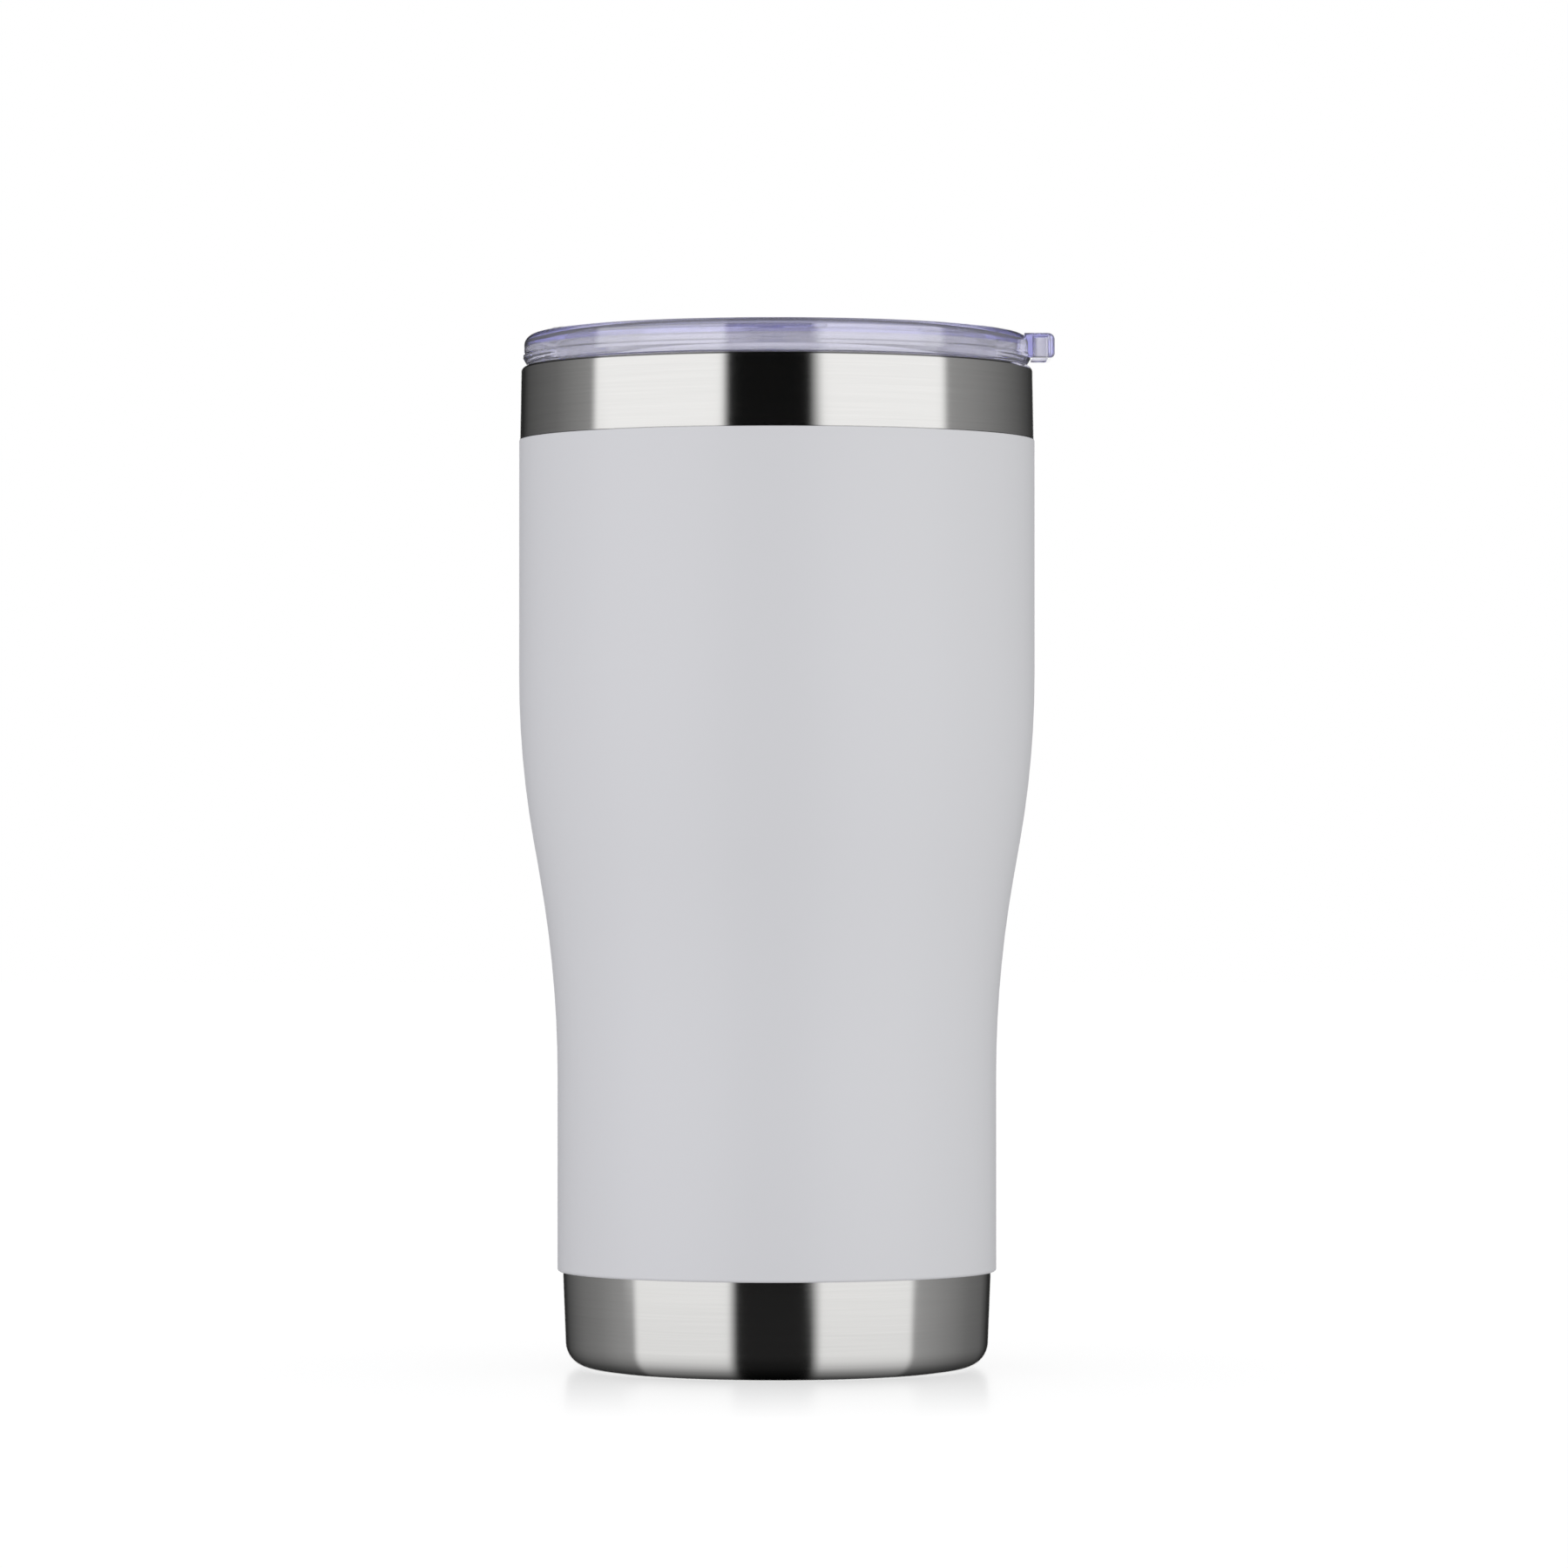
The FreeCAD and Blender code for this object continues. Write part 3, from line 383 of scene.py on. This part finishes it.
def smooth_shell(material):
    """The steel outside wall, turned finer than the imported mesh, whose facets its mirror finish would show."""
    corners = [
        (SEAM_RADIUS, RIM_TOP), (RIM_RADIUS, RIM_TOP, RIM_ROUND), (BAND_RADIUS, SHOULDER),
        (BODY_RADIUS - SLEEVE_DEPTH, SHOULDER), *cup_wall(SLEEVE_DEPTH, SEEN_STEPS),
        (GRIP_RADIUS - SLEEVE_DEPTH, DRAFT_TOP), (BASE_RADIUS, 0.0, BASE_ROUND), (FOOT_RADIUS, 0.0, FOOT_ROUND),
        (FOOT_RADIUS, FLANGE_TOP), (FOOT_RADIUS + SHELL_WALL, FLANGE_TOP),
        (FOOT_RADIUS + SHELL_WALL, SHELL_WALL), (BASE_RADIUS - SHELL_WALL, SHELL_WALL, BASE_ROUND - SHELL_WALL),
        (GRIP_RADIUS - SLEEVE_DEPTH - SHELL_WALL, DRAFT_TOP),
        *reversed(cup_wall(SLEEVE_DEPTH + SHELL_WALL, HIDDEN_STEPS)),
        (BODY_RADIUS - SLEEVE_DEPTH - SHELL_WALL, SHOULDER + SHELL_WALL),
        (BAND_RADIUS - SHELL_WALL, SHOULDER + SHELL_WALL), (RIM_RADIUS - SHELL_WALL, RIM_TOP - SHELL_WALL),
        (SEAM_RADIUS, RIM_TOP - SHELL_WALL),
    ]
    shell = lathe("steel_shell", profile_of(corners), material)
    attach(shell, "cup")
    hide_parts("outer_shell")


def dress():
    """Gives every CAD node its material, and the steel shell its finer surface."""
    outer_steel = brushed_steel("outer_steel", (0.66, 0.655, 0.645), (0.09, 0.16), 0.35)
    inner_steel = brushed_steel("inner_steel", (0.62, 0.62, 0.61), (0.2, 0.32), 0.25)
    turned_steel = brushed_steel("turned_steel", (0.62, 0.615, 0.61), (0.22, 0.34), 0.35, turned=True)
    violet = clear_plastic("violet_plastic", density=60.0, clearness=0.89, rough=(0.03, 0.07))
    closure = clear_plastic("closure_plastic", density=72.0, clearness=0.90, rough=(0.05, 0.10))
    milky = silicone("milky_silicone", MILKY)
    finishes = {
        "outer_shell": outer_steel,
        "grip_sleeve": sleeve_coat(),
        "inner_liner": inner_steel,
        "base_plate": turned_steel,
        "base_cover": turned_steel,
        "evacuation_seal": fused_glass(),
        "getter": pressed_powder(),
        "getter_holder": inner_steel,
        "lid_body": violet,
        "lid_gasket": milky,
        "slider": closure,
        "slider_seal": milky,
        "slider_retainer": closure,
    }
    for name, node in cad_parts.items():
        node.data.materials.clear()
        node.data.materials.append(finishes[name])
    smooth_shell(outer_steel)


# ----------------------------------------------------------------------------------------------------------
# Studio
# ----------------------------------------------------------------------------------------------------------
def degrees(tree, radians):
    return calculate(tree, "MULTIPLY", radians, 180 / math.pi)


def full_turn_share(tree, angle):
    """Takes an angle from -180 to 180 degrees to a share from 0 to 1."""
    return calculate(tree, "DIVIDE", calculate(tree, "ADD", angle, 180.0), 360.0)


def full_turn_stops(pairs):
    return [((angle + 180) / 360, share) for angle, share in pairs]


def studio_light():
    """Surroundings by direction: panels for gloss, an even soft light for matt surfaces, white for the view."""
    world = bpy.data.worlds.new("studio")
    bpy.context.scene.world = world
    world.use_nodes = True
    tree = world.node_tree
    tree.nodes.clear()
    direction = add_node(tree, "ShaderNodeTexCoord").outputs["Generated"]
    apart = add_node(tree, "ShaderNodeSeparateXYZ", {"Vector": direction})
    elevation = degrees(tree, calculate(tree, "ARCSINE", apart.outputs["Z"]))
    towards_camera = calculate(tree, "SUBTRACT", 1.0, apart.outputs["Y"])
    sideways_part, forward_part = squared(tree, apart.outputs["X"]), squared(tree, towards_camera)
    level = calculate(tree, "SQRT", calculate(tree, "ADD", sideways_part, forward_part))
    turned = calculate(tree, "ARCTAN2", apart.outputs["X"], towards_camera)
    turned = calculate(tree, "MULTIPLY", turned, 2.0)
    tilted = calculate(tree, "ARCTAN2", apart.outputs["Z"], level)
    tilted = calculate(tree, "MULTIPLY", tilted, 2.0)
    height = degrees(tree, tilted)
    across = full_turn_share(tree, degrees(tree, turned))

    lift = {"Value": height, "From Min": BAND_LOW, "From Max": BAND_HIGH}
    high_share = add_node(tree, "ShaderNodeMapRange", lift).outputs["Result"]
    low_panels = ramp(tree, across, full_turn_stops(PANELS_LOW))
    high_panels = ramp(tree, across, full_turn_stops(PANELS_HIGH))
    sideways = mix_colours(tree, high_share, low_panels, high_panels)
    upwards = ramp(tree, full_turn_share(tree, height), full_turn_stops(PANEL_HEIGHTS))
    gloss = mix_colours(tree, 1.0, sideways, upwards, "MULTIPLY")
    gloss = mix_colours(tree, 1.0, gloss, (PANEL_LIGHT,) * 3, "MULTIPLY")
    azimuth = degrees(tree, calculate(tree, "ARCTAN2", apart.outputs["X"], apart.outputs["Y"]))
    behind = calculate(tree, "LESS_THAN", calculate(tree, "ABSOLUTE", azimuth), BACKDROP_WIDTH)
    near_level = calculate(tree, "LESS_THAN", calculate(tree, "ABSOLUTE", elevation), BACKDROP_HEIGHT)
    gloss = mix_colours(tree, calculate(tree, "MULTIPLY", behind, near_level), gloss, WHITE)

    rightward = calculate(tree, "ADD", calculate(tree, "MULTIPLY", apart.outputs["X"], 0.5), 0.5)
    soft = mix_colours(tree, rightward, COOL_SIDE, WARM_SIDE)
    soft = mix_colours(tree, 1.0, soft, (SOFT_LIGHT,) * 3, "MULTIPLY")

    dimming = {"Value": elevation, "From Min": CEILING_START, "From Max": CEILING_END,
               "To Min": 1.0, "To Max": CEILING_SHADE}
    through = add_node(tree, "ShaderNodeMapRange", dimming).outputs["Result"]

    path = add_node(tree, "ShaderNodeLightPath")
    colour = mix_colours(tree, path.outputs["Is Glossy Ray"], soft, gloss)
    colour = mix_colours(tree, path.outputs["Is Transmission Ray"], colour, through)
    colour = mix_colours(tree, path.outputs["Is Camera Ray"], colour, WHITE)
    background = add_node(tree, "ShaderNodeBackground", {"Color": colour, "Strength": 1.0})
    add_node(tree, "ShaderNodeOutputWorld", {"Surface": background.outputs[0]})


def floor_material():
    """White table top: matt, with a faint mirror image that fades away from the foot."""
    material = bpy.data.materials.new("white_table")
    material.use_nodes = True
    tree = material.node_tree
    tree.nodes.clear()
    spot = place(tree)
    distance = add_node(tree, "ShaderNodeVectorMath", {0: spot}, operation="LENGTH").outputs["Value"]
    fade = {"Value": distance, "From Min": 0.0, "From Max": FLOOR_MIRROR_REACH,
            "To Min": FLOOR_MIRROR, "To Max": 0.0}
    image = add_node(tree, "ShaderNodeMapRange", fade).outputs["Result"]
    cloud = noise(tree, spot, 3.0, 2.0)
    white = mix_colours(tree, cloud, (FLOOR_SHADE,) * 3, (FLOOR_SHADE * 0.98,) * 3)
    matt = add_node(tree, "ShaderNodeBsdfDiffuse", {"Color": white})
    glow = add_node(tree, "ShaderNodeEmission", {"Color": (*WHITE, 1.0), "Strength": FLOOR_GLOW})
    lit = add_node(tree, "ShaderNodeAddShader", {0: matt.outputs[0], 1: glow.outputs[0]})
    blur = {"Color": (*WHITE, 1.0), "Roughness": FLOOR_MIRROR_BLUR}
    mirror = add_node(tree, "ShaderNodeBsdfAnisotropic", blur)
    both = add_node(tree, "ShaderNodeMixShader", {0: image, 1: lit.outputs[0], 2: mirror.outputs[0]})
    add_node(tree, "ShaderNodeOutputMaterial", {"Surface": both.outputs[0]})
    return material


def lay_floor():
    bpy.ops.mesh.primitive_plane_add(size=FLOOR_SIZE, location=(0.0, 0.0, 0.0))
    floor = bpy.context.object
    floor.name = "floor"
    floor.data.materials.append(floor_material())
    floor.visible_glossy = False


def set_camera():
    data = bpy.data.cameras.new("camera")
    data.lens = LENS_MM
    data.sensor_width = SENSOR_MM
    camera = bpy.data.objects.new("camera", data)
    camera.location = (0.0, -CAMERA_DISTANCE, CAMERA_HEIGHT)
    camera.rotation_euler = (CAMERA_AIM - camera.location).to_track_quat("-Z", "Y").to_euler()
    bpy.context.scene.collection.objects.link(camera)
    bpy.context.scene.camera = camera


def set_picture():
    scene = bpy.context.scene
    scene.view_settings.view_transform = "Standard"
    scene.cycles.max_bounces = 24
    scene.cycles.transmission_bounces = 20
    scene.cycles.glossy_bounces = 12


set_camera()
set_picture()
studio_light()
lay_floor()
dress()
